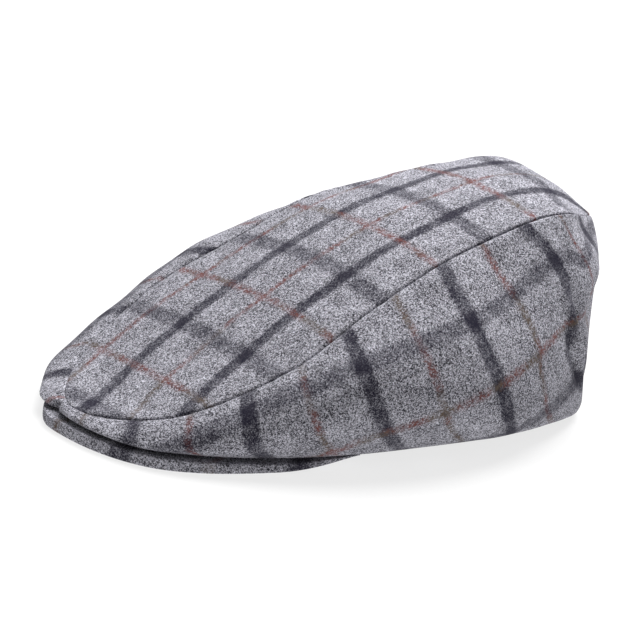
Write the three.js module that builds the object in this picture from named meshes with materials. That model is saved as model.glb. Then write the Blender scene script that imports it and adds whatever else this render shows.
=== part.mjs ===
// Flat cap of checked wool: a leaf-shaped top panel, two side panels and a stiff peak.
// Millimetres, +Z up, front of the cap towards -Y, wearer's left towards +X.
import * as THREE from 'three';

// Driving dimensions
const CLOTH = 2.0; // wall of wool cloth
const GAP = 0.3; // clearance between neighbouring pieces
const SLOT = 1.8; // dark slot between the crown and the peak, which fills the rest of the height below
const PEAK_REACH = 5.5; // how far the peak shows in front of the crown
const PEAK_TUCK = 1.5; // how far its two tips slip in under the side hem
const PEAK_END_DEG = 66; // angle of those tips from centre front
const PEAK_END_THICK = 1.6; // thickness left at its two tips
const PEAK_TAPER_DEG = 22; // stretch over which the tips thin out
const FOREHEAD_FRONT = 84; // inner edge of the peak from the cap's axis, at centre front
const FOREHEAD_SIDE = 78; // and towards the sides
const PEAK_RISE = 5; // the inner edge stands this much higher at the centre

// How finely the cloth is divided
const TURN_STEPS = 44; // from centre front to centre back
const WALL_STEPS = 8; // from hem to seam
const TOP_STEPS = 14; // from seam to seam across the top
const PEAK_STEPS = 36; // from tip to tip
const NOSE_STEPS = 4; // round the outer edge of the peak
const PLATE_STEPS = 3; // from that edge to the forehead

// Upright sections of the crown, by angle from centre front. Each wall runs from the hem
// through its fullest point, the belly, to the seam. rise is the crown of the top panel there.
const SECTION_KEYS = ['angle', 'hemR', 'hemZ', 'bellyR', 'bellyZ', 'seamX', 'seamY', 'seamZ', 'rise'];
const SECTIONS = [
  [0, 146, 7.2, 147, 10.2, 0, -142.5, 11.5, 0],
  [22.5, 134.5, 7.1, 139.5, 11, 45, -116, 19.5, 0.5],
  [45, 104, 5.7, 117, 25, 65, -70, 43.5, 4],
  [67.5, 87, 5.5, 105, 42, 61, -28, 67, 6.5],
  [90, 81.5, 5.9, 101, 46, 58.5, 7.5, 85.5, 6],
  [112.5, 87.5, 6.2, 102, 41.5, 52.5, 40, 95, 6],
  [135, 102.5, 5.5, 107.5, 46, 47, 74, 102.5, 5],
  [157.5, 120.5, 1.8, 119.5, 51, 39.5, 110, 103.5, 2],
  [180, 116.5, -1.2, 134.5, 55.5, 0, 132, 88, 0],
].map((row) => Object.fromEntries(row.map((value, i) => [SECTION_KEYS[i], value])));

// Slack folds in the side walls: angle at the hem, lean over the height and width in degrees, depth in mm
// (below 0 for a ridge), and the share of the wall from which to which they run.
const FOLDS = [
  { angle: 160, lean: -28, width: 5, depth: 6, low: 0, high: 0.85 },
  { angle: 156, lean: 0, width: 8, depth: 2.5, low: 0.36, high: 0.76 },
  { angle: 152, lean: 0, width: 15, depth: -5, low: 0.5, high: 1 },
  { angle: -158, lean: 16, width: 5, depth: 4, low: 0.05, high: 0.8 },
  { angle: -140, lean: 12, width: 5, depth: 2, low: 0.05, high: 0.5 },
  { angle: -152, lean: 0, width: 15, depth: -3.5, low: 0.5, high: 1 },
  { angle: -3, lean: 0, width: 4, depth: 1.5, low: -0.3, high: 0.9 },
  { angle: -10, lean: 0, width: 6, depth: -4, low: -0.6, high: 0.5 },
];

// Places where the soft crown is pressed in or pushed out
const DENTS = [
  { centre: [38, 114, 104], radius: 24, push: [-3, -8, -5] },
  { centre: [-38, 106, 103], radius: 20, push: [0, 1, 2] },
];

const { clamp, degToRad, lerp, radToDeg, smoothstep } = THREE.MathUtils;
const STEP = degToRad(SECTIONS[1].angle);
const SMALL = 1e-3; // step for taking directions on a surface
const NEAR_SEAM = 0.1; // share of a panel that sets how it meets the seam
const vec = (x, y, z) => new THREE.Vector3(x, y, z);

// Smooth curve through one column of the table, mirrored at both ends so that left matches right.
// A column measured to the left changes sign on the right.
function column(key, theta) {
  const last = SECTIONS.length - 1;
  const mirrored = key === 'seamX' ? -1 : 1;
  const place = Math.abs(theta) / STEP;
  const index = Math.min(Math.floor(place), last - 1);
  const row = (i) => SECTIONS[last - Math.abs(last - Math.abs(i))][key] * (i < 0 || i > last ? mirrored : 1);
  const t = place - index;
  const [a, b, c, d] = [row(index - 1), row(index), row(index + 1), row(index + 2)];
  const value = b + 0.5 * t * (c - a + t * (2 * a - 5 * b + 4 * c - d + t * (3 * (b - c) + d - a)));
  return theta < 0 ? mirrored * value : value;
}

const polar = (theta, r, z) => vec(r * Math.sin(theta), -r * Math.cos(theta), z);
const hemHeight = (theta) => Math.max(0, column('hemZ', theta));
const hemAt = (theta) => polar(theta, column('hemR', theta), hemHeight(theta));
const bellyAt = (theta) => polar(theta, column('bellyR', theta), column('bellyZ', theta));
const seamLine = (theta) => vec(column('seamX', theta), column('seamY', theta), column('seamZ', theta));
const seamAt = (theta) => pressed(seamLine(theta));

// A point moved by every dent, less and less away from the dent's centre
function pressed(point) {
  const moved = point.clone();
  for (const { centre, radius, push } of DENTS) {
    const away = point.distanceTo(vec(...centre)) / radius;
    moved.addScaledVector(vec(...push), Math.exp(-(away ** 2)));
  }
  return moved;
}

// How far the folds push the wall inwards at this place
function foldDepth(theta, v) {
  let depth = 0;
  for (const fold of FOLDS) {
    const across = (radToDeg(theta) - fold.angle - fold.lean * v) / fold.width;
    const along = clamp((v - fold.low) / (fold.high - fold.low), 0, 1);
    depth += fold.depth * Math.exp(-across * across) * Math.sin(Math.PI * along) ** 2;
  }
  return depth;
}

// Outside of a side wall: a parabola through hem, belly and seam, less the folds and dents
function wallAt(theta, v) {
  const point = hemAt(theta).multiplyScalar((1 - v) * (1 - 2 * v));
  point.addScaledVector(bellyAt(theta), 4 * v * (1 - v));
  point.addScaledVector(seamLine(theta), v * (2 * v - 1));
  return pressed(point.addScaledVector(polar(theta, 1, 0), -foldDepth(theta, v)));
}

// Outside of the top panel: across each section it crowns from seam to seam
function topAt(theta, s) {
  const seam = seamLine(theta);
  return pressed(vec(s * seam.x, seam.y, seam.z + column('rise', theta) * (1 - s * s)));
}

// Outward direction of a surface, from small steps along both its parameters
function normalAt(surface, u, v) {
  const along = surface(u + SMALL, v).sub(surface(u - SMALL, v));
  const across = surface(u, v + SMALL).sub(surface(u, v - SMALL));
  return along.cross(across).normalize();
}

// The seam: the way into the cap that both panels share there, and the way across it onto the wall
function seamFrame(theta) {
  const tangent = seamAt(theta + SMALL).sub(seamAt(theta - SMALL)).normalize();
  const wallWay = wallAt(theta, 1 - NEAR_SEAM).sub(seamAt(theta));
  const insideAngle = Math.abs(theta) + NEAR_SEAM * Math.cos(theta);
  const insideShare = (1 - NEAR_SEAM) * Math.sign(theta) * Math.sqrt(Math.abs(Math.sin(theta)));
  const topWay = topAt(insideAngle, insideShare).sub(seamAt(theta));
  const wallOut = wallWay.clone().cross(tangent).normalize();
  const topOut = tangent.clone().cross(topWay).normalize();
  const inward = wallOut.add(topOut).negate();
  inward.addScaledVector(tangent, -inward.dot(tangent)).normalize();
  const across = inward.clone().cross(tangent).normalize();
  if (across.dot(wallWay) < 0) across.negate();
  return { inward, across };
}

// Closed solid between two grids of points that face each other, with points that coincide made one
function solidBetween(outer, inner) {
  const places = new Map();
  const positions = [];
  const index = (point) => {
    const key = point.toArray().map((value) => value.toFixed(4)).join(' ');
    if (!places.has(key)) {
      places.set(key, positions.length / 3);
      positions.push(...point.toArray());
    }
    return places.get(key);
  };
  const triangles = [];
  const face = (...corners) => {
    const [a, b, c] = corners.map(index);
    if (a !== b && b !== c && c !== a) triangles.push(a, b, c);
  };
  const rows = outer.length - 1;
  const columns = outer[0].length - 1;
  const border = [];
  for (let i = 0; i < rows; i += 1) {
    for (let j = 0; j < columns; j += 1) {
      face(outer[i][j], outer[i + 1][j], outer[i + 1][j + 1]);
      face(outer[i][j], outer[i + 1][j + 1], outer[i][j + 1]);
      face(inner[i][j], inner[i + 1][j + 1], inner[i + 1][j]);
      face(inner[i][j], inner[i][j + 1], inner[i + 1][j + 1]);
    }
  }
  for (let i = 0; i < rows; i += 1) border.push([i, 0]);
  for (let j = 0; j < columns; j += 1) border.push([rows, j]);
  for (let i = rows; i > 0; i -= 1) border.push([i, columns]);
  for (let j = columns; j > 0; j -= 1) border.push([0, j]);
  border.forEach(([i, j], k) => {
    const [m, n] = border[(k + 1) % border.length];
    face(outer[m][n], outer[i][j], inner[i][j]);
    face(outer[m][n], inner[i][j], inner[m][n]);
  });
  const geometry = new THREE.BufferGeometry();
  geometry.setAttribute('position', new THREE.Float32BufferAttribute(positions, 3));
  geometry.setIndex(triangles);
  geometry.computeVertexNormals();
  return geometry;
}

// A side panel from one centre seam to the other; its hem is level and its top edge follows the seam
function sidePanel(from, to) {
  const side = Math.sign(from + to);
  const outer = [];
  const inner = [];
  for (let i = 0; i <= TURN_STEPS; i += 1) {
    const theta = from + ((to - from) * i) / TURN_STEPS;
    const atEnd = i === 0 || i === TURN_STEPS;
    const seam = seamFrame(theta);
    outer.push([]);
    inner.push([]);
    for (let j = 0; j <= WALL_STEPS; j += 1) {
      const v = j / WALL_STEPS;
      const out = wallAt(theta, v);
      const inward = normalAt(wallAt, theta, v).negate();
      if (j === 0) inward.setZ(0).normalize();
      if (j === WALL_STEPS) {
        out.addScaledVector(seam.across, GAP / 2);
        inward.copy(seam.inward);
      }
      const back = out.clone().addScaledVector(inward, CLOTH);
      if (atEnd) [out, back].forEach((point) => point.setX((side * GAP) / 2));
      outer[i].push(out);
      inner[i].push(back);
    }
  }
  return solidBetween(outer, inner);
}

// The top panel: a leaf that closes to a point at centre front and centre back
function topPanel() {
  const outer = [];
  const inner = [];
  for (let i = 0; i <= TURN_STEPS; i += 1) {
    const theta = (Math.PI * i) / TURN_STEPS;
    const atTip = i === 0 || i === TURN_STEPS;
    outer.push([]);
    inner.push([]);
    for (let j = 0; j <= TOP_STEPS; j += 1) {
      const s = 1 - (2 * j) / TOP_STEPS;
      const out = topAt(theta, s);
      let inward;
      if (atTip || Math.abs(s) === 1) {
        const seam = seamFrame(atTip ? theta : theta * s);
        out.addScaledVector(seam.across, -GAP / 2);
        inward = seam.inward;
      } else {
        inward = normalAt(topAt, theta, s);
      }
      if (inward.z > 0) inward.negate();
      outer[i].push(out);
      inner[i].push(out.clone().addScaledVector(inward, CLOTH));
    }
  }
  return solidBetween(outer, inner);
}

// The peak: a crescent plate under the front hem with a round outer edge and thin tips
function peak() {
  const end = degToRad(PEAK_END_DEG);
  const taper = degToRad(PEAK_TAPER_DEG);
  const upper = [];
  const lower = [];
  for (let i = 0; i <= PEAK_STEPS; i += 1) {
    const theta = -end + (2 * end * i) / PEAK_STEPS;
    const full = smoothstep(end - Math.abs(theta), 0, taper);
    const slot = lerp(GAP, SLOT, full);
    const thick = lerp(PEAK_END_THICK, hemHeight(theta) - slot, full);
    const edge = column('hemR', theta) + lerp(PEAK_REACH, -PEAK_TUCK, (Math.abs(theta) / end) ** 3);
    const forehead = lerp(FOREHEAD_SIDE, FOREHEAD_FRONT, Math.cos(theta) ** 2);
    const middle = hemHeight(theta) - slot - thick / 2;
    const hemInside = column('hemR', theta) - 2 * CLOTH;
    const section = [];
    for (let k = 0; k <= NOSE_STEPS; k += 1) {
      const turn = (Math.PI / 2) * (k / NOSE_STEPS);
      const half = (thick / 2) * Math.sin(turn);
      section.push({ r: edge - (thick / 2) * (1 - Math.cos(turn)), half });
    }
    const plate = hemInside - forehead;
    for (let k = 0; k <= PLATE_STEPS; k += 1) {
      section.push({ r: forehead + plate * (1 - k / PLATE_STEPS), half: thick / 2 });
    }
    const lift = (r) => PEAK_RISE * Math.cos(theta) ** 2 * clamp((hemInside - r) / plate, 0, 1);
    upper.push(section.map(({ r, half }) => polar(theta, r, middle + half + lift(r))));
    lower.push(section.map(({ r, half }) => polar(theta, r, middle - half + lift(r))));
  }
  return solidBetween(upper, lower);
}

const wool = (color) => new THREE.MeshStandardMaterial({ color, roughness: 0.95, metalness: 0 });
const pieces = [
  { name: 'top_panel', geometry: topPanel(), color: 0x92929a },
  { name: 'side_panel_left', geometry: sidePanel(0, Math.PI), color: 0x85858c },
  { name: 'side_panel_right', geometry: sidePanel(-Math.PI, 0), color: 0x85858c },
  { name: 'peak', geometry: peak(), color: 0x7a7a82 },
];
const group = new THREE.Group();
for (const { name, geometry, color } of pieces) {
  const mesh = new THREE.Mesh(geometry, wool(color));
  mesh.name = name;
  group.add(mesh);
}

// Stand the cap on its lowest point, centred over the origin
const box = new THREE.Box3().setFromObject(group);
group.position.set(0, -(box.min.y + box.max.y) / 2, -box.min.z);

export default group;
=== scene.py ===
"""Flat cap of checked wool: a leaf-shaped top panel, two side panels and a stiff peak, on a white sweep."""

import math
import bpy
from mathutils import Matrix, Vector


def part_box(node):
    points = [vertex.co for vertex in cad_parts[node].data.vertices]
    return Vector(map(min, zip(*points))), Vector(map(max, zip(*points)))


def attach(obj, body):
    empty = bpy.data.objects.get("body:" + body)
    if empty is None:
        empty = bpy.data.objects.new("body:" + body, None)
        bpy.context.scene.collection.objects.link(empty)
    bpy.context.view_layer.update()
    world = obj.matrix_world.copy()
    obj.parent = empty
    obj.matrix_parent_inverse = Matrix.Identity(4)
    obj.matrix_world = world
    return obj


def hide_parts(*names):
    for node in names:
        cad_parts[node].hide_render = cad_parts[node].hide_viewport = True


bl_info = {
    "name": "Checked wool flat cap",
    "version": (1, 0, 0),
    "blender": (4, 5, 0),
    "location": "View3D > Sidebar > Flat cap",
    "description": "Cloth panels, peak and studio of a flat cap, built around its CAD frame",
    "category": "Object",
}

import bmesh
import bpy
import numpy as np
from bpy.props import FloatProperty, FloatVectorProperty, PointerProperty
from mathutils import Matrix, Vector

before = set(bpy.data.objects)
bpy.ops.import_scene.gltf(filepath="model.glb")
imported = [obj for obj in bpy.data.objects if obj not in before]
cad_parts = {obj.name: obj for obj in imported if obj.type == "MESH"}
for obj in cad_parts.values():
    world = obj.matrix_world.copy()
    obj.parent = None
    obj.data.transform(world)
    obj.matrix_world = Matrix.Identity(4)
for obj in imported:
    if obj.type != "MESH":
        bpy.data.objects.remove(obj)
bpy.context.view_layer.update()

# The cap is worked out in millimetres about its upright axis, and put into the frame in metres.
MM = 0.001

# Upright sections of the crown every 22.5 degrees, from centre front to centre back, in mm.
# Each wall runs from the hem through its fullest point, the belly, to the seam of the top panel.
# Columns: hem radius, hem height, belly radius, belly height,
# then the seam's x, y and height, and the rise of the top panel over its seam.
SECTION_STEP = 22.5
SEAM_X = 4
SECTIONS = np.array(
    [
        [146, 7.2, 147, 10.2, 0, -142.5, 11.5, 0],
        [134.5, 7.1, 139.5, 11, 45, -116, 19.5, 0.5],
        [104, 5.7, 117, 25, 65, -70, 43.5, 4],
        [87, 5.5, 105, 42, 61, -28, 67, 6.5],
        [81.5, 5.9, 101, 46, 58.5, 7.5, 85.5, 6],
        [87.5, 6.2, 102, 41.5, 52.5, 40, 95, 6],
        [102.5, 5.5, 107.5, 46, 47, 74, 102.5, 5],
        [120.5, 1.8, 119.5, 51, 39.5, 110, 103.5, 2],
        [116.5, -1.2, 134.5, 55.5, 0, 132, 88, 0],
    ]
)

# The peak of the solid reaches this far out from the hem at centre front, which places the cap's axis.
PEAK_REACH = 5.5
AXIS_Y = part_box("peak")[0].y / MM + SECTIONS[0, 0] + PEAK_REACH

# Slack folds of the side walls: angle at the hem, lean over the height, width, all in degrees,
# then depth in mm (below 0 for a ridge) and the share of the wall from which to which they run.
FOLDS = (
    (160.0, -28, 2.6, 9.0, 0.0, 0.85),
    (156.5, -30, 2.4, -3.0, 0.1, 0.85),
    (154.0, -33, 1.9, 2.4, 0.1, 0.7),
    (156.0, 0, 8.0, 2.5, 0.36, 0.76),
    (152.0, 0, 15.0, -5.0, 0.5, 1.0),
    (-158.0, 16, 5.0, 4.0, 0.05, 0.8),
    (-140.0, 12, 4.5, 2.0, 0.05, 0.5),
    (-152.0, 0, 15.0, -3.5, 0.5, 1.0),
    (-3.0, 0, 1.2, 4.5, -0.3, 0.9),
    (-10.0, 0, 6.0, -4.0, -0.6, 0.5),
)

# Places where the soft crown is pressed in or pushed out: centre and radius in mm, then the push there.
DENTS = (
    ((38, 114, 104), 24, (-3, -8, -5)),
    ((-38, 106, 103), 20, (0, 1, 2)),
)

# Where the peak's edge draws back: depth in mm, then the turns at which it starts, is full, lessens, ends.
PEAK_INSETS = (
    (5.5, -60, -32, -13, -1),
    (2.8, -9, 5, 6, 26),
)

# The seam of the top panel goes from pressed flat to plain between these turns on either side of the
# front, and most of it fades again round the back corners.
SEAM_FLAT = 0.15
SEAM_LEFT = (2, 11)
SEAM_RIGHT = (14, 38)
SEAM_BACK = (128, 158)
SEAM_FADE = 0.9

# Beside the seam the cloth follows bell curves: how far from it they peak, and their widths, in mm.
SEAM_WIDTH = 4
STITCH_WIDTH = 0.4
PUCKER_PLACE = 2
PUCKER_WIDTH = 3.5
PUCKER_WAVES = (9, 6.5, 13)
RIDGE_PLACE = 4.5
RIDGE_WIDTH = 2.5

# A rolled edge takes at most this share of the cloth, so that its two faces stay apart.
ROLL_SHARE = 0.9

# The check bends with the cloth. On a side panel it is a polynomial of the ways along and up the wall,
# in units of 100 mm. Weights: 1, along, up, along squared, along times up, up squared.
CHECK_UNIT = 100
SIDE_ALONG = (-0.791, 1.667, 0.561, -0.078, 0.261, -0.447)
SIDE_UP = (0.491, -0.892, 0.747, 0.102, 0.168, 0.256)

# How the check wanders across the top panel: shift in repeats, every 38 mm from the front.
DRIFT_STEP = 38
TOP_DRIFT = np.array([-0.62, -0.32, -0.185, -0.13, -0.12, -0.09, 0.03, 0.08, 0.1])[:, None]

# Repeats by which the pieces stand apart in the cloth's map; the quarter keeps lines off the peak's edge.
RIGHT_APART = 9
TOP_APART = 20
PEAK_APART = 30.25

# Sockets of a Mix node that mixes colours.
MIX_SHARE = 0
MIX_FROM = 6
MIX_TO = 7
MIXED = 2


def through(rows, place):
    """Catmull-Rom curve through evenly spaced rows, which have one more at each end, read at each place."""
    index = np.clip(np.floor(place).astype(int), 0, len(rows) - 4)
    t = (place - index)[..., None]
    a, b, c, d = (rows[index + k] for k in range(4))
    return b + 0.5 * t * (c - a + t * (2 * a - 5 * b + 4 * c - d + t * (3 * (b - c) + d - a)))


def bell(distance, width):
    """Bell curve of a distance: e to the power of minus the square of distance over width."""
    return np.exp(-((distance / width) ** 2))


def rising(value, full):
    """Straight rise from 0 at 0 to 1 at full."""
    return np.clip(value / full, 0, 1)


def step(value, low, high):
    """Smooth step from 0 at low to 1 at high."""
    share = np.clip((value - low) / (high - low), 0, 1)
    return share * share * (3 - 2 * share)


def eased_off(value, start, room):
    """A value that, beyond a start, comes to rest within the room left, as a hyperbolic tangent does."""
    return np.minimum(value, start) + room * np.tanh(np.maximum(value - start, 0) / room)


def eased(count):
    """Numbers from 0 to 1 that crowd towards both ends as a cosine does."""
    return 0.5 - 0.5 * np.cos(np.linspace(0, np.pi, count))


def unit(vectors):
    """Vectors divided by their length."""
    return vectors / np.maximum(np.linalg.norm(vectors, axis=-1, keepdims=True), 1e-9)


def polar(turn, radius, height):
    """Point at an angle round the cap's axis: x is r sin, y is minus r cos, so that 0 is the front."""
    angle = np.radians(turn)
    return np.stack(np.broadcast_arrays(radius * np.sin(angle), -radius * np.cos(angle), height), -1)


def arc(points, axis):
    """Length along a grid's lines from their first points."""
    length = np.linalg.norm(np.diff(points, axis=axis), axis=-1)
    first = np.zeros_like(np.take(length, [0], axis=axis))
    return np.concatenate([first, np.cumsum(length, axis=axis)], axis=axis)


def normals(points):
    """Directions square to a grid of points: the cross product of its two differences."""
    return unit(np.cross(np.gradient(points, axis=0), np.gradient(points, axis=1)))


def even_turns(line, start, stop, count):
    """Angles from start to stop that are evenly spaced along a line, with a few more close to both ends."""
    samples = 2000
    margin = 2.2
    ends = np.array([0, 0.08, 0.3, 0.65, 1.05, 1.5])
    fine = np.linspace(start, stop, samples)
    length = arc(line(fine), 0)
    inner = np.linspace(margin, length[-1] - margin, count)
    return np.interp(np.concatenate([ends, inner, length[-1] - ends[::-1]]), length, fine)


def ripples(a, b, lengths, seed):
    """Slack of soft cloth: slanting sine waves of the given lengths in mm, each with its own direction."""
    chance = np.random.default_rng(seed)
    total = np.zeros(np.broadcast(a, b).shape)
    for length in lengths:
        turn, phase = chance.uniform(0, 2 * np.pi, 2)
        total += np.sin(2 * np.pi * (a * np.cos(turn) + b * np.sin(turn)) / length + phase)
    return total / len(lengths)


def section(turn):
    """The sizes of the section at each turn in degrees from centre front; below 0 is the wearer's right.

    The table is mirrored at both ends, so that left matches right, and the seam's x changes sign."""
    wrapped = (np.asarray(turn, float) + 180) % 360 - 180
    mirrored = SECTIONS * np.where(np.arange(SECTIONS.shape[1]) == SEAM_X, -1, 1)
    rows = np.vstack([mirrored[1], SECTIONS, mirrored[-2]])
    sizes = through(rows, np.abs(wrapped) / SECTION_STEP)
    sizes[..., SEAM_X] *= np.sign(wrapped)
    return np.moveaxis(sizes, -1, 0)


def fold_depth(turn, v):
    """Sum of bell curves across each leaning fold, times a squared sine along its run up the wall."""
    depth = np.zeros(np.broadcast(turn, v).shape)
    for angle, lean, width, deep, low, high in FOLDS:
        along = np.clip((v - low) / (high - low), 0, 1)
        depth += deep * bell(turn - angle - lean * v, width) * np.sin(np.pi * along) ** 2
    return depth


def pressed(points):
    """Points moved by every dent's push, times a bell curve of their distance from its centre."""
    moved = points
    for centre, radius, push in DENTS:
        share = np.exp(-np.sum(((points - centre) / radius) ** 2, -1, keepdims=True))
        moved = moved + share * push
    return moved


def seam(turn):
    """The seam that joins the top panel to the side panels."""
    return pressed(np.moveaxis(section(turn)[SEAM_X : SEAM_X + 3], 0, -1))


def wall(turn, v):
    """Outside of a side wall: a parabola through hem, belly and seam, v from 0 to 1, less the folds."""
    turn, v = np.broadcast_arrays(turn, v)
    hem_r, hem_z, belly_r, belly_z, *edge, _ = section(turn)
    hem = polar(turn, hem_r, np.maximum(hem_z, 0))
    belly = polar(turn, belly_r, belly_z)
    w = v[..., None]
    base = hem * (1 - w) * (1 - 2 * w) + belly * 4 * w * (1 - w) + np.stack(edge, -1) * w * (2 * w - 1)
    return pressed(base - polar(turn, fold_depth(turn, v), 0))


def top(turn, s):
    """Outside of the top panel: seam to seam, s from 1 to -1, it rises by its rise times 1 - s squared."""
    turn, s = np.broadcast_arrays(turn, s)
    x, y, z, rise = section(turn)[SEAM_X:]
    return pressed(np.stack([s * x, y, z + rise * (1 - s * s)], -1))


def seam_frame(turn):
    """At the seam: the way into the cap that both panels share, and the way across it onto the wall.

    The way in is the mean of the two panels' inward normals, made square to the seam's own direction.
    Each normal comes from that direction and a point of the panel a tenth of the way in from the seam."""
    near = 0.1
    nudge = 0.06
    angle = np.radians(turn)
    along = unit(seam(turn + nudge) - seam(turn - nudge))
    to_wall = wall(turn, 1 - near) - seam(turn)
    inside = np.abs(turn) + np.degrees(near) * np.cos(angle)
    share = (1 - near) * np.sign(turn) * np.sqrt(np.abs(np.sin(angle)))
    to_top = top(inside, share) - seam(turn)
    inward = -unit(np.cross(to_wall, along)) - unit(np.cross(along, to_top))
    inward = unit(inward - along * np.sum(inward * along, -1, keepdims=True))
    across = unit(np.cross(inward, along))
    across *= np.where(np.sum(across * to_wall, -1, keepdims=True) < 0, -1, 1)
    return inward, across


def roll(distance, radius):
    """How deep a cloth edge rolls in: a quarter circle of that radius that ends at the edge."""
    inside = np.clip(1 - distance / radius, 0, 1)
    return radius * (1 - np.sqrt(1 - inside * inside))


def sewn_share(turn):
    """How plainly the seam shows: it is pressed flat round the front, further on the wearer's right.

    It also fades out round the back corners, where the cloth is pulled over the fold."""
    front = np.where(turn >= 0, step(turn, *SEAM_LEFT), step(-turn, *SEAM_RIGHT))
    return SEAM_FLAT + (1 - SEAM_FLAT) * front * (1 - SEAM_FADE * step(np.abs(turn), *SEAM_BACK))


def relief(sizes, waves, to_seam, run, plain, seed, pucker_room, ridge_room):
    """Height of the cloth in mm: its broad waves, and puckers and a ridge under bell curves by the seam."""
    puckers = bell(to_seam - PUCKER_PLACE, PUCKER_WIDTH) * ripples(run, 0, PUCKER_WAVES, seed) * pucker_room
    ridge = bell(to_seam - RIDGE_PLACE, RIDGE_WIDTH) * plain * ridge_room
    return (waves * sizes.slack + puckers * sizes.pucker + ridge * sizes.seam_ridge) / MM


def sewn_in(sizes, to_seam, plain, by_seam):
    """How far in mm the stitches pull the very edge in, and the thickness turned in behind: bell curves."""
    pulled = sizes.stitch / MM * plain * bell(to_seam, STITCH_WIDTH)
    turned_in = sizes.allowance / MM * plain * by_seam[..., 0]
    return pulled, turned_in


def linear(code):
    """An sRGB hex colour as linear red, green and blue."""
    parts = [int(code[k : k + 2], 16) / 255 for k in (1, 3, 5)]
    return tuple(p / 12.92 if p <= 0.04045 else ((p + 0.055) / 1.055) ** 2.4 for p in parts)


def length_property(name, description, default):
    """A length in metres that a user may change."""
    return FloatProperty(
        name=name, description=description, default=default, min=0, precision=5, unit="LENGTH"
    )


def colour_property(name, description, code):
    """A colour that a user may change."""
    return FloatVectorProperty(
        name=name, description=description, default=linear(code), min=0, max=1, size=3, subtype="COLOR"
    )


class FlatCapSizes(bpy.types.PropertyGroup):
    """Sizes of the cap's cloth, seams, peak and check."""

    cloth: length_property("Cloth", "Thickness of the wool cloth", 0.002)
    gap: length_property("Gap", "Room left between the two edges of a seam", 0.00004)
    seam_roll: length_property("Seam roll", "Radius to which a sewn edge rolls in", 0.0021)
    stitch: length_property("Stitch line", "How far the stitches pull the very edge in", 0.0012)
    allowance: length_property("Allowance", "Thickness of cloth turned in behind a seam", 0.0015)
    seam_ridge: length_property("Seam ridge", "Rise of the cloth over the turned edge by a seam", 0.0004)
    pucker: length_property("Pucker", "Height of the small puckers along a seam", 0.00025)
    slack: length_property("Slack", "Height of the broad waves of the soft cloth", 0.0006)
    slot: length_property("Slot", "Dark slot between the crown and the peak", 0.0014)
    repeat: length_property("Check repeat", "Distance between dark stripes of the check", 0.060)
    stripe: length_property("Dark stripe", "Width of a dark stripe", 0.0080)
    line: length_property("Thin line", "Width of a thin rust or olive line", 0.0034)
    grain: length_property("Grain", "Size of the heather flecks, drawn coarse enough to show", 0.00042)


class FlatCapColours(bpy.types.PropertyGroup):
    """Colours of the yarns and of the sweep."""

    pale: colour_property("Pale fibre", "Lightest flecks of the heather yarn", "#dedde8")
    ash: colour_property("Dark fibre", "Darkest flecks of the heather yarn", "#2b2a30")
    navy: colour_property("Dark stripe", "Yarn of the dark stripes", "#181526")
    rust: colour_property("Rust line", "Yarn of the thin lines", "#6a3b36")
    olive: colour_property("Olive line", "Second yarn of the thin lines", "#574a3f")
    sweep: colour_property("Sweep", "Paper that the cap lies on", "#828282")


def add(tree, kind, inputs=None, **settings):
    """Adds one node, sets its settings, and gives its inputs values or links from other sockets."""
    node = tree.nodes.new(kind)
    for name, value in settings.items():
        setattr(node, name, value)
    for key, value in (inputs or {}).items():
        if isinstance(value, bpy.types.NodeSocket):
            tree.links.new(value, node.inputs[key])
        else:
            node.inputs[key].default_value = value
    return node


def new_material(name):
    """An empty node material, its tree and its output node."""
    material = bpy.data.materials.new(name)
    material.use_nodes = True
    tree = material.node_tree
    tree.nodes.clear()
    return material, tree, add(tree, "ShaderNodeOutputMaterial")


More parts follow.
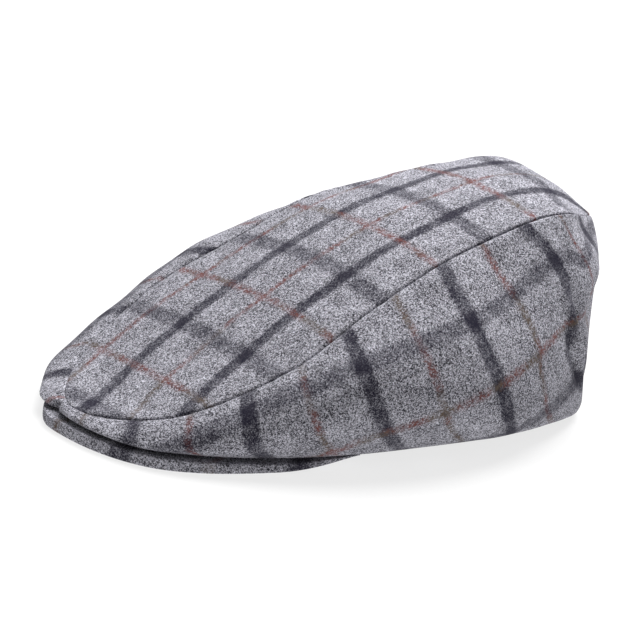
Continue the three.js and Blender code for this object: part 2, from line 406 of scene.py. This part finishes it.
def wool_cloth(sizes, colours):
    """Milled wool in a windowpane check: matt, with mixed light and dark fibres and a soft nap.

    The stripes along and across the cloth lie over the heather one set after the other. Each covers part of
    it, so a stripe on its own is half dark and a crossing is almost wholly dark. The cloth's own map counts
    in repeats of the check, with dark stripes at whole numbers and thin lines half way between them."""
    found = bpy.data.materials.get("milled_wool_check")
    if found:
        return found
    material, tree, output = new_material("milled_wool_check")
    repeat = sizes.repeat
    names = ("pale", "ash", "navy", "rust", "olive")
    pale, ash, navy, rust, olive = ((*getattr(colours, name), 1.0) for name in names)
    solid = add(tree, "ShaderNodeTexCoord").outputs["Object"]
    place = add(tree, "ShaderNodeUVMap", uv_map="cloth").outputs[0]

    # Loose fibres blur every stripe: a fine noise shakes the place in the check by up to a few mm.
    stray_size = 1.4 * MM
    reach = 4.6 * MM / repeat
    half_reach = (reach / 2, reach / 2, 0)
    stray = add(tree, "ShaderNodeTexNoise", {"Vector": solid, "Scale": 1 / stray_size, "Detail": 2.0})
    shaken = add(tree, "ShaderNodeVectorMath", {0: place, 1: half_reach}, operation="SUBTRACT")
    settings = {0: stray.outputs["Color"], 1: (reach, reach, 0), 2: shaken.outputs[0]}
    shaken = add(tree, "ShaderNodeVectorMath", settings, operation="MULTIPLY_ADD")
    axes = add(tree, "ShaderNodeSeparateXYZ", {0: shaken.outputs[0]}).outputs

    # Heather gives the salt and pepper look: every fleck has its own shade, tufts gather the flecks,
    # and a broad mottle lies over both.
    tuft_weight = 1.7
    mottle_weight = 0.5
    mottle_size = 9 * MM
    flecks = add(tree, "ShaderNodeTexVoronoi", {"Vector": solid, "Scale": 1 / sizes.grain})
    chance = add(tree, "ShaderNodeSeparateColor", {0: flecks.outputs["Color"]}).outputs
    settings = {"Vector": solid, "Scale": 0.5 / sizes.grain, "Detail": 3.0, "Roughness": 0.7}
    tufts = add(tree, "ShaderNodeTexNoise", settings).outputs[0]
    settings = {0: tufts, 1: tuft_weight, 2: chance[0]}
    shade = add(tree, "ShaderNodeMath", settings, operation="MULTIPLY_ADD").outputs[0]
    mottle = add(tree, "ShaderNodeTexNoise", {"Vector": solid, "Scale": 1 / mottle_size, "Detail": 2.0})
    settings = {0: mottle.outputs[0], 1: mottle_weight, 2: shade}
    shade = add(tree, "ShaderNodeMath", settings, operation="MULTIPLY_ADD").outputs[0]
    settings = {"Value": shade, "From Min": 1.08, "From Max": 2.54}
    shade = add(tree, "ShaderNodeMapRange", settings, interpolation_type="SMOOTHSTEP").outputs[0]
    settings = {MIX_SHARE: shade, MIX_FROM: ash, MIX_TO: pale}
    heather = add(tree, "ShaderNodeMix", settings, data_type="RGBA").outputs[MIXED]

    # The thin lines are worn in places, break up into clumps of fibre and change between rust and olive.
    cloud_size = 7 * MM
    drift_size = 16 * MM
    settings = {"Vector": solid, "Scale": 1 / cloud_size, "Detail": 1.0}
    clouds = add(tree, "ShaderNodeTexNoise", settings).outputs[0]
    settings = {"Value": clouds, "From Min": 0.34, "From Max": 0.6, "To Min": 0.55, "To Max": 1.0}
    worn = add(tree, "ShaderNodeMapRange", settings, interpolation_type="SMOOTHSTEP").outputs[0]
    clump = add(tree, "ShaderNodeSeparateColor", {0: stray.outputs["Color"]}).outputs[2]
    settings = {"Value": clump, "From Min": 0.38, "From Max": 0.6, "To Min": 0.3, "To Max": 0.95}
    clump = add(tree, "ShaderNodeMapRange", settings, interpolation_type="SMOOTHSTEP").outputs[0]
    worn = add(tree, "ShaderNodeMath", {0: worn, 1: clump}, operation="MULTIPLY").outputs[0]
    drift = add(tree, "ShaderNodeTexNoise", {"Vector": solid, "Scale": 1 / drift_size, "Detail": 0.0})
    settings = {"Value": drift.outputs[0], "From Min": 0.36, "From Max": 0.56}
    ruddy = add(tree, "ShaderNodeMapRange", settings, interpolation_type="SMOOTHSTEP").outputs[0]
    settings = {MIX_SHARE: ruddy, MIX_FROM: olive, MIX_TO: rust}
    tint = add(tree, "ShaderNodeMix", settings, data_type="RGBA").outputs[MIXED]

    # Each set of stripes covers the heather in part and in patches, so that pale flecks still show through.
    # A cover is the least and the most that a fleck takes of the dark yarn, before the patches.
    covers = ((0.16, 0.62), (-0.12, 0.48))
    patch_weight = 0.7
    crossing_cover = 0.75
    half = sizes.stripe / 2 / repeat
    soft = 1.7 * MM / repeat
    edge = 0.5 - sizes.line / 2 / repeat
    fray = 1.5 * MM / repeat
    cloth = heather
    crossed = 0.0
    for axis, (least, most) in enumerate(covers):
        settings = {"Value": chance[1 + axis], "To Min": least, "To Max": most}
        cover = add(tree, "ShaderNodeMapRange", settings).outputs[0]
        settings = {0: clouds, 1: patch_weight, 2: cover}
        cover = add(tree, "ShaderNodeMath", settings, operation="MULTIPLY_ADD").outputs[0]
        cover = add(tree, "ShaderNodeMath", {0: cover, 1: crossed}, operation="MAXIMUM").outputs[0]
        away = add(tree, "ShaderNodeMath", {0: axes[axis], 1: 0.5}, operation="PINGPONG").outputs[0]
        settings = {"Value": away, "From Min": half + soft, "From Max": half - soft}
        dark = add(tree, "ShaderNodeMapRange", settings, interpolation_type="SMOOTHSTEP").outputs[0]
        settings = {0: dark, 1: crossing_cover}
        crossed = add(tree, "ShaderNodeMath", settings, operation="MULTIPLY").outputs[0]
        dark = add(tree, "ShaderNodeMath", {0: dark, 1: cover}, operation="MULTIPLY").outputs[0]
        settings = {MIX_SHARE: dark, MIX_FROM: cloth, MIX_TO: navy}
        cloth = add(tree, "ShaderNodeMix", settings, data_type="RGBA").outputs[MIXED]
        settings = {"Value": away, "From Min": edge - fray, "From Max": edge + fray}
        thin = add(tree, "ShaderNodeMapRange", settings, interpolation_type="SMOOTHSTEP").outputs[0]
        thin = add(tree, "ShaderNodeMath", {0: thin, 1: worn}, operation="MULTIPLY").outputs[0]
        settings = {MIX_SHARE: thin, MIX_FROM: cloth, MIX_TO: tint}
        cloth = add(tree, "ShaderNodeMix", settings, data_type="RGBA").outputs[MIXED]

    # The nap stands up a little, so that the light catches single tufts.
    # Each fleck is highest in its middle.
    fleck_fall = -0.3
    nap = 0.3 * MM
    settings = {0: flecks.outputs["Distance"], 1: fleck_fall, 2: tufts}
    height = add(tree, "ShaderNodeMath", settings, operation="MULTIPLY_ADD").outputs[0]
    bump = add(tree, "ShaderNodeBump", {"Strength": 0.25, "Distance": nap, "Height": height})
    shader = add(
        tree,
        "ShaderNodeBsdfPrincipled",
        {
            "Base Color": cloth,
            "Roughness": 0.95,
            "IOR": 1.45,
            "Specular IOR Level": 0.15,
            "Sheen Weight": 0.06,
            "Sheen Roughness": 0.5,
            "Sheen Tint": (0.9, 0.9, 1.0, 1.0),
            "Normal": bump.outputs[0],
        },
    )
    tree.links.new(shader.outputs[0], output.inputs[0])
    return material


def cloth_shell(name, outer, inner, check, material):
    """Closed shell of cloth: the outer grid, the inner grid turned over, and a strip round their border.

    The grids are in mm about the cap's axis. Points that fall together, as at the tips, are merged."""
    merge_distance = 2e-6
    rows, columns = outer.shape[:2]
    index = np.arange(rows * columns).reshape(rows, columns)
    quads = np.stack([index[:-1, :-1], index[1:, :-1], index[1:, 1:], index[:-1, 1:]], -1).reshape(-1, 4)
    ring = np.concatenate([index[:-1, 0], index[-1, :-1], index[:0:-1, -1], index[0, :0:-1]])
    after = np.roll(ring, -1)
    under = rows * columns
    strip = np.stack([after, ring, ring + under, after + under], -1)
    faces = np.concatenate([quads, quads[:, ::-1] + under, strip])
    points = np.concatenate([outer.reshape(-1, 3), inner.reshape(-1, 3)])
    points = (points + (0, AXIS_Y, 0)) * MM
    mesh = bpy.data.meshes.new(name)
    mesh.from_pydata(points.tolist(), [], faces.tolist())
    layer = mesh.uv_layers.new(name="cloth")
    both = np.broadcast_to(check, (2, rows, columns, 2)).reshape(-1, 2)
    corners = both[faces.ravel()]
    layer.data.foreach_set("uv", corners.astype(np.float32).ravel())
    merged = bmesh.new()
    merged.from_mesh(mesh)
    bmesh.ops.remove_doubles(merged, verts=merged.verts, dist=merge_distance)
    merged.to_mesh(mesh)
    merged.free()
    mesh.polygons.foreach_set("use_smooth", np.ones(len(mesh.polygons), bool))
    mesh.materials.append(material)
    piece = bpy.data.objects.new(name, mesh)
    bpy.context.scene.collection.objects.link(piece)
    return piece


def dress(piece, node):
    """The piece rides on the cap and stands for its CAD node, which is hidden."""
    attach(piece, "root")
    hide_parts(node)


def bent(weights, s, w):
    """Polynomial of the second degree in s and w."""
    one, by_s, by_w, by_ss, by_sw, by_ww = weights
    return one + by_s * s + by_w * w + by_ss * s * s + by_sw * s * w + by_ww * w * w


def side_check(along, up, side):
    """Each is a polynomial of both ways. On the wearer's left the upright stripes also bow at the back corner,
    as a parabola of the height. On both sides their feet shift along the hem, forwards before the middle
    and backwards behind it. Up the wall the check comes to rest short of the next thin line."""
    corner_start = (230, 280)
    corner_stop = (292, 330)
    bow = 0.09
    bow_drop = 0.13
    bow_height = 80
    bow_span = 27
    bow_low = 40
    foot_start = (60, 110)
    foot_height = 28
    foot_shift = 0.22
    foot_slope = -0.14
    foot_least = -0.08
    foot_most = 0.1
    rest_start = 0.2
    rest_room = 0.2
    s = along / CHECK_UNIT
    w = up / CHECK_UNIT
    p = bent(SIDE_ALONG, s, w)
    if side > 0:
        corner = step(along, *corner_start) * (1 - step(along, *corner_stop))
        height = (np.maximum(up, bow_low) - bow_height) / bow_span
        p -= corner * (bow - bow_drop * height**2)
    foot = (1 - step(up, 0, foot_height)) * step(along, *foot_start)
    p += foot * np.clip(foot_shift + foot_slope * s, foot_least, foot_most)
    q = eased_off(bent(SIDE_UP, s, w), rest_start, rest_room)
    return np.stack([p, q if side > 0 else q + RIGHT_APART], -1)


def side_panel(sizes, side):
    """One side panel: outer grid, inner grid and check; side is 1 on the wearer's left, -1 on the right.

    The wall gets broad waves, and puckers and a ridge by the seam. Its sewn edges roll in by a quarter
    circle. At the seam the stitches pull the very edge further in, and the cloth turned in behind makes it
    thicker. The hem is a half circle in which both faces meet, and it curls in as a parabola, not at the
    front and most at the back."""
    along_count = 330
    up_count = 84
    waves = (61, 47, 38, 29)
    wave_seed = 3 + side
    pucker_seed = 11
    end_width = 3
    wave_height = 8
    pucker_height = 10
    ridge_height = 15
    curl_height = 7
    curl_start = (40, 75)
    curl_more = (110, 145)
    cloth = sizes.cloth / MM
    gap = sizes.gap / MM
    seam_roll = sizes.seam_roll / MM

    turns = even_turns(lambda t: wall(t, np.full_like(t, 0.5)), 0.0, 180.0, along_count)
    turn = (side * turns)[:, None]
    base = wall(turn, eased(up_count)[None, :])
    along = arc(base[:, up_count // 2], 0)[:, None]
    up = arc(base, 1)
    to_seam = up[:, -1:] - up
    to_end = np.minimum(along, along[-1] - along)
    by_seam = bell(to_seam, SEAM_WIDTH)[..., None]
    by_end = bell(to_end, end_width)[..., None]
    plain = sewn_share(turn)

    # The outer face, a little clear of its neighbours.
    calm = (1 - by_seam[..., 0]) * (1 - by_end[..., 0]) * rising(up, wave_height)
    slack = ripples(along, up, waves, wave_seed) * calm
    rooms = (rising(up, pucker_height), rising(up, ridge_height))
    swell = relief(sizes, slack, to_seam, along, plain, pucker_seed, *rooms)
    out = normals(base) * side
    inward, across = (d[:, None, :] for d in seam_frame(turn[:, 0]))
    outer = base + out * swell[..., None] + across * by_seam * gap / 2
    outer[..., 0] += side * gap / 2 * by_end[..., 0]

    # The way in through the cloth: level at the hem, shared at the seam, in the middle plane at the ends.
    way = unit(-out * (1 - by_seam) + inward * by_seam)
    way[:, 0, 2] = 0
    way[..., 0] *= 1 - by_end[..., 0]
    way = unit(way)

    # The hem, the rolled edges and the inner face. The seam at centre back is plain over its whole height.
    hem = roll(up, cloth / 2)
    curl = (1 + step(turns, *curl_more)) * step(turns, *curl_start)
    outer = outer + way * (curl[:, None] * (1 - rising(up, curl_height)) ** 2)[..., None]
    ends_plain = np.where(np.abs(turn) > 90, 1.0, plain)
    sewn = np.maximum(roll(to_seam, seam_roll) * plain, roll(to_end, seam_roll) * ends_plain)
    pulled, turned_in = sewn_in(sizes, to_seam, plain, by_seam)
    inner = outer + way * (cloth + turned_in - hem)[..., None]
    outer = outer + way * (np.minimum(sewn + hem, cloth * ROLL_SHARE) + pulled)[..., None]
    return outer, inner, side_check(along, up, side)


class FLATCAP_OT_side_panels(bpy.types.Operator):
    """Make the two side panels, from the hem up to the seam of the top panel"""

    bl_idname = "flat_cap.side_panels"
    bl_label = "Side panels"

    def execute(self, context):
        sizes = context.scene.flat_cap_sizes
        wool = wool_cloth(sizes, context.scene.flat_cap_colours)
        for side, word in ((1, "left"), (-1, "right")):
            outer, inner, check = side_panel(sizes, side)
            if side < 0:
                outer, inner, check = outer[::-1], inner[::-1], check[::-1]
            piece = cloth_shell("crown_side_" + word, outer, inner, check, wool)
            dress(piece, "side_panel_" + word)
        return {"FINISHED"}


def top_check(x, middle):
    """Across, it counts from half a repeat at the middle, on a scale that grows towards the back. It drifts as
    the table says, and comes to rest near the edge on the wearer's left. Along, it leans a little."""
    centre = 0.5
    scale = 1.68
    scale_growth = 0.23
    rest_start = 1.15
    rest_room = 0.25
    along_start = -0.118
    along_lean = -0.147
    along_scale = 1.573
    rows = np.vstack([TOP_DRIFT[:1], TOP_DRIFT, TOP_DRIFT[-1:]])
    drift = through(rows, middle / DRIFT_STEP)[..., 0]
    x = x / CHECK_UNIT
    y = middle / CHECK_UNIT
    i = eased_off(centre + x * (scale + scale_growth * y) + drift, rest_start, rest_room)
    j = along_start + along_lean * x + along_scale * y
    return np.stack([i, j + TOP_APART], -1)


def top_panel(sizes):
    """The top panel: outer grid, inner grid and check.

    Distance to the seam is the share left of the half width, made square to the seam's direction. The sewn
    edge rolls in there by a quarter circle, beside a low ridge and puckers. The stitches pull the very edge
    further in, the cloth turned in behind makes it thicker, and the rest gets broad waves."""
    along_count = 300
    across_count = 120
    waves = (71, 52, 43, 33)
    wave_seed = 8
    wave_width = 9
    pucker_seed = 12
    pucker_width = 12
    turning = 4
    cloth = sizes.cloth / MM

    turn = even_turns(lambda t: top(t, np.zeros_like(t)), 0.0, 180.0, along_count)[:, None]
    s = 1 - 2 * eased(across_count)[None, :]
    base = top(turn, s)
    middle = arc(base[:, across_count // 2], 0)[:, None]
    edge = seam(turn[:, 0])
    run = arc(edge, 0)[:, None]
    half_width = np.abs(edge[:, :1])
    along = unit(np.gradient(edge, axis=0))
    square = np.linalg.norm(along[:, 1:], axis=-1)[:, None]
    to_seam = (1 - np.abs(s)) * half_width * square
    by_seam = bell(to_seam, SEAM_WIDTH)[..., None]
    by_seam[[0, -1]] = 1
    plain = sewn_share(turn * np.where(s < 0, -1, 1))

    # The ways in and across at the seam are mirrored on the wearer's right, and turn over in the middle.
    mirror = np.stack([np.clip(turning * s, -1, 1), np.ones_like(s), np.ones_like(s)], -1)
    inward, across = (d[:, None, :] * mirror for d in seam_frame(turn[:, 0]))
    slack = ripples(base[..., 0], middle, waves, wave_seed) * (1 - bell(to_seam, wave_width))
    swell = relief(sizes, slack, to_seam, run, plain, pucker_seed, rising(half_width, pucker_width), 1)
    out = normals(base)
    out = out * np.where(out[..., 2:] < 0, -1, 1)
    way = unit(-out * (1 - by_seam) + inward * by_seam)
    outer = base - way * swell[..., None] - across * by_seam * sizes.gap / MM / 2
    sewn = roll(to_seam, sizes.seam_roll / MM) * plain
    pulled, turned_in = sewn_in(sizes, to_seam, plain, by_seam)
    inner = outer + way * (cloth + turned_in)[..., None]
    outer = outer + way * (np.minimum(sewn, cloth * ROLL_SHARE) + pulled)[..., None]
    return outer, inner, top_check(base[..., 0], middle)


class FLATCAP_OT_top_panel(bpy.types.Operator):
    """Make the leaf-shaped top panel, which closes to a point at centre front and centre back"""

    bl_idname = "flat_cap.top_panel"
    bl_label = "Top panel"

    def execute(self, context):
        sizes = context.scene.flat_cap_sizes
        wool = wool_cloth(sizes, context.scene.flat_cap_colours)
        piece = cloth_shell("crown_top", *top_panel(sizes), wool)
        dress(piece, "top_panel")
        return {"FINISHED"}


def peak_check(run, back, repeat):
    """The stripes lie further apart on the wearer's left. The lower face counts back the other way."""
    start = 0.465
    change = 2
    right_repeat = 58
    left_repeat = 84
    along = start + np.minimum(run, change) / right_repeat + np.maximum(run - change, 0) / left_repeat
    along = along + 0 * back
    over = np.stack([along, PEAK_APART + back / repeat], -1)
    under = np.stack([along, PEAK_APART - back / repeat], -1)
    return np.stack([over, under])


def peak_cover(sizes):
    """The covered peak: upper grid, lower grid and check.

    A crescent plate that lies flat on the floor and fills the room up to the slot under the crown. At each
    turn a blunt nose, a fourth-power superellipse, runs into a plate that lifts a little towards the
    forehead. The plate thins out towards its two tips, where the slot closes and the plate slips in under
    the side hem, by the third power of the turn."""
    turn_count = 261
    nose_count = 18
    plate_count = 22
    end = 66.0
    taper = 22.0
    tuck = 2.6
    end_thick = 0.6
    end_slot = 0.1
    nose_out = 1.5
    nose_depth = 2.0
    forehead_front = 84.0
    forehead_side = 78.0
    rise = 5.0
    cloth = sizes.cloth / MM

    turn = np.linspace(-end, end, turn_count)[:, None]
    hem_r, hem_z = section(turn)[:2]
    full = step(end - np.abs(turn), 0, taper)
    slot = end_slot + (sizes.slot / MM - end_slot) * full
    thick = end_thick + (hem_z - slot - end_thick) * full
    reach = PEAK_REACH + nose_out
    for depth, low, full_from, full_to, high in PEAK_INSETS:
        reach = reach - depth * step(turn, low, full_from) * (1 - step(turn, full_to, high))
    edge = hem_r + reach - (reach + tuck) * (np.abs(turn) / end) ** 3
    front = np.cos(np.radians(turn)) ** 2
    forehead = forehead_side + (forehead_front - forehead_side) * front
    hem_inside = hem_r - 2 * cloth
    nose = np.linspace(0, np.pi / 2, nose_count)[None, :]
    plate = np.linspace(0, 1, plate_count)[None, :]
    blunt = edge - np.minimum(thick / 2, nose_depth) * (1 - np.sqrt(np.maximum(np.cos(nose), 0)))
    radius = np.concatenate([blunt, hem_inside + (forehead - hem_inside) * plate], 1)
    half = np.concatenate([thick / 2 * np.sqrt(np.sin(nose)), thick / 2 * np.ones_like(plate)], 1)
    lift = rise * front * np.clip((hem_inside - radius) / (hem_inside - forehead), 0, 1)
    middle = hem_z - slot - thick / 2
    upper = polar(turn, radius, middle + half + lift)
    lower = polar(turn, radius, middle - half + lift)
    run = arc(polar(turn[:, 0], edge[:, 0], 0), 0)
    run = (run - run[turn_count // 2])[:, None]
    return upper, lower, peak_check(run, arc(upper, 1), sizes.repeat / MM)


class FLATCAP_OT_peak(bpy.types.Operator):
    """Make the cloth-covered peak under the front of the crown"""

    bl_idname = "flat_cap.peak"
    bl_label = "Peak"

    def execute(self, context):
        sizes = context.scene.flat_cap_sizes
        wool = wool_cloth(sizes, context.scene.flat_cap_colours)
        piece = cloth_shell("peak_cover", *peak_cover(sizes), wool)
        dress(piece, "peak")
        return {"FINISHED"}


def make_camera(scene):
    """Camera turned round the cap, raised and rolled a little, and aimed a few mm beside its middle."""
    turn = math.radians(57.32)
    raised = math.radians(17.25)
    rolled = math.radians(5.95)
    distance = 1.332
    target_y = AXIS_Y - 1.4
    target_z = 47
    target = Vector((0, target_y * MM, target_z * MM))
    aim_left = 11.55 * MM
    aim_down = 5.23 * MM
    level = math.cos(raised)
    back = Vector((math.sin(turn) * level, -math.cos(turn) * level, math.sin(raised)))
    right = Vector((math.cos(turn), math.sin(turn), 0))
    up = back.cross(right)
    right, up = (
        right * math.cos(rolled) + up * math.sin(rolled),
        up * math.cos(rolled) - right * math.sin(rolled),
    )
    place = target + back * distance
    aim = target - right * aim_left - up * aim_down
    back = (place - aim).normalized()
    right = (right - back * right.dot(back)).normalized()
    up = back.cross(right)
    data = bpy.data.cameras.new("camera")
    data.lens = 157.34
    data.sensor_width = 36
    data.clip_start = 0.05
    camera = bpy.data.objects.new("camera", data)
    camera.matrix_world = Matrix.Translation(place) @ Matrix((right, up, back)).transposed().to_4x4()
    scene.collection.objects.link(camera)
    scene.camera = camera


def make_lights(scene):
    """A white room all round, and a wide soft light from above and behind the cap."""
    place = Vector((-0.45, 0.7, 1.6))
    target = Vector((0, 0, 0.05))
    world = bpy.data.worlds.new("white_room")
    world.use_nodes = True
    room = world.node_tree.nodes["Background"].inputs
    room["Color"].default_value = (1, 1, 1, 1)
    room["Strength"].default_value = 0.28
    scene.world = world
    scene.view_settings.view_transform = "Standard"
    data = bpy.data.lights.new("key", "AREA")
    data.shape = "DISK"
    data.size = 1.6
    data.energy = 64.0
    light = bpy.data.objects.new("key", data)
    light.location = place
    light.rotation_euler = (target - place).to_track_quat("-Z", "Y").to_euler()
    scene.collection.objects.link(light)


def make_sweep(scene, colours):
    """Flat sheet of paper, which glows so that it shows white and the cap's shadow stays pale."""
    size = 6.0
    drop = 0.0002
    material, tree, output = new_material("white_paper_sweep")
    shader = add(
        tree,
        "ShaderNodeBsdfPrincipled",
        {
            "Base Color": (*colours.sweep, 1),
            "Roughness": 0.9,
            "Specular IOR Level": 0.0,
            "Emission Color": (1, 1, 1, 1),
            "Emission Strength": 0.76,
        },
    )
    tree.links.new(shader.outputs[0], output.inputs[0])
    mesh = bpy.data.meshes.new("sweep")
    corners = ((-1, -1), (1, -1), (1, 1), (-1, 1))
    mesh.from_pydata([(x * size, y * size, -drop) for x, y in corners], [], [(0, 1, 2, 3)])
    mesh.materials.append(material)
    sweep = bpy.data.objects.new("sweep", mesh)
    scene.collection.objects.link(sweep)


class FLATCAP_OT_studio(bpy.types.Operator):
    """Make the camera, the soft light and the white sweep"""

    bl_idname = "flat_cap.studio"
    bl_label = "Studio"

    def execute(self, context):
        make_camera(context.scene)
        make_lights(context.scene)
        make_sweep(context.scene, context.scene.flat_cap_colours)
        return {"FINISHED"}


class FLATCAP_PT_panel(bpy.types.Panel):
    """The cap's sizes, colours and pieces"""

    bl_idname = "FLATCAP_PT_panel"
    bl_label = "Flat cap"
    bl_space_type = "VIEW_3D"
    bl_region_type = "UI"
    bl_category = "Flat cap"

    def draw(self, context):
        for group in (context.scene.flat_cap_sizes, context.scene.flat_cap_colours):
            for name in group.bl_rna.properties.keys():
                if name not in ("rna_type", "name"):
                    self.layout.prop(group, name)
        for operator in STEPS:
            self.layout.operator(operator.bl_idname)


STEPS = (FLATCAP_OT_studio, FLATCAP_OT_side_panels, FLATCAP_OT_top_panel, FLATCAP_OT_peak)
CLASSES = (FlatCapSizes, FlatCapColours, *STEPS, FLATCAP_PT_panel)


def register():
    """Adds the classes and the cap's properties to Blender."""
    for kind in CLASSES:
        bpy.utils.register_class(kind)
    bpy.types.Scene.flat_cap_sizes = PointerProperty(type=FlatCapSizes)
    bpy.types.Scene.flat_cap_colours = PointerProperty(type=FlatCapColours)


def unregister():
    """Takes them away again."""
    del bpy.types.Scene.flat_cap_colours
    del bpy.types.Scene.flat_cap_sizes
    for kind in reversed(CLASSES):
        bpy.utils.unregister_class(kind)


def main():
    register()
    bpy.ops.flat_cap.studio()
    bpy.ops.flat_cap.side_panels()
    bpy.ops.flat_cap.top_panel()
    bpy.ops.flat_cap.peak()


if __name__ == "__main__":
    main()
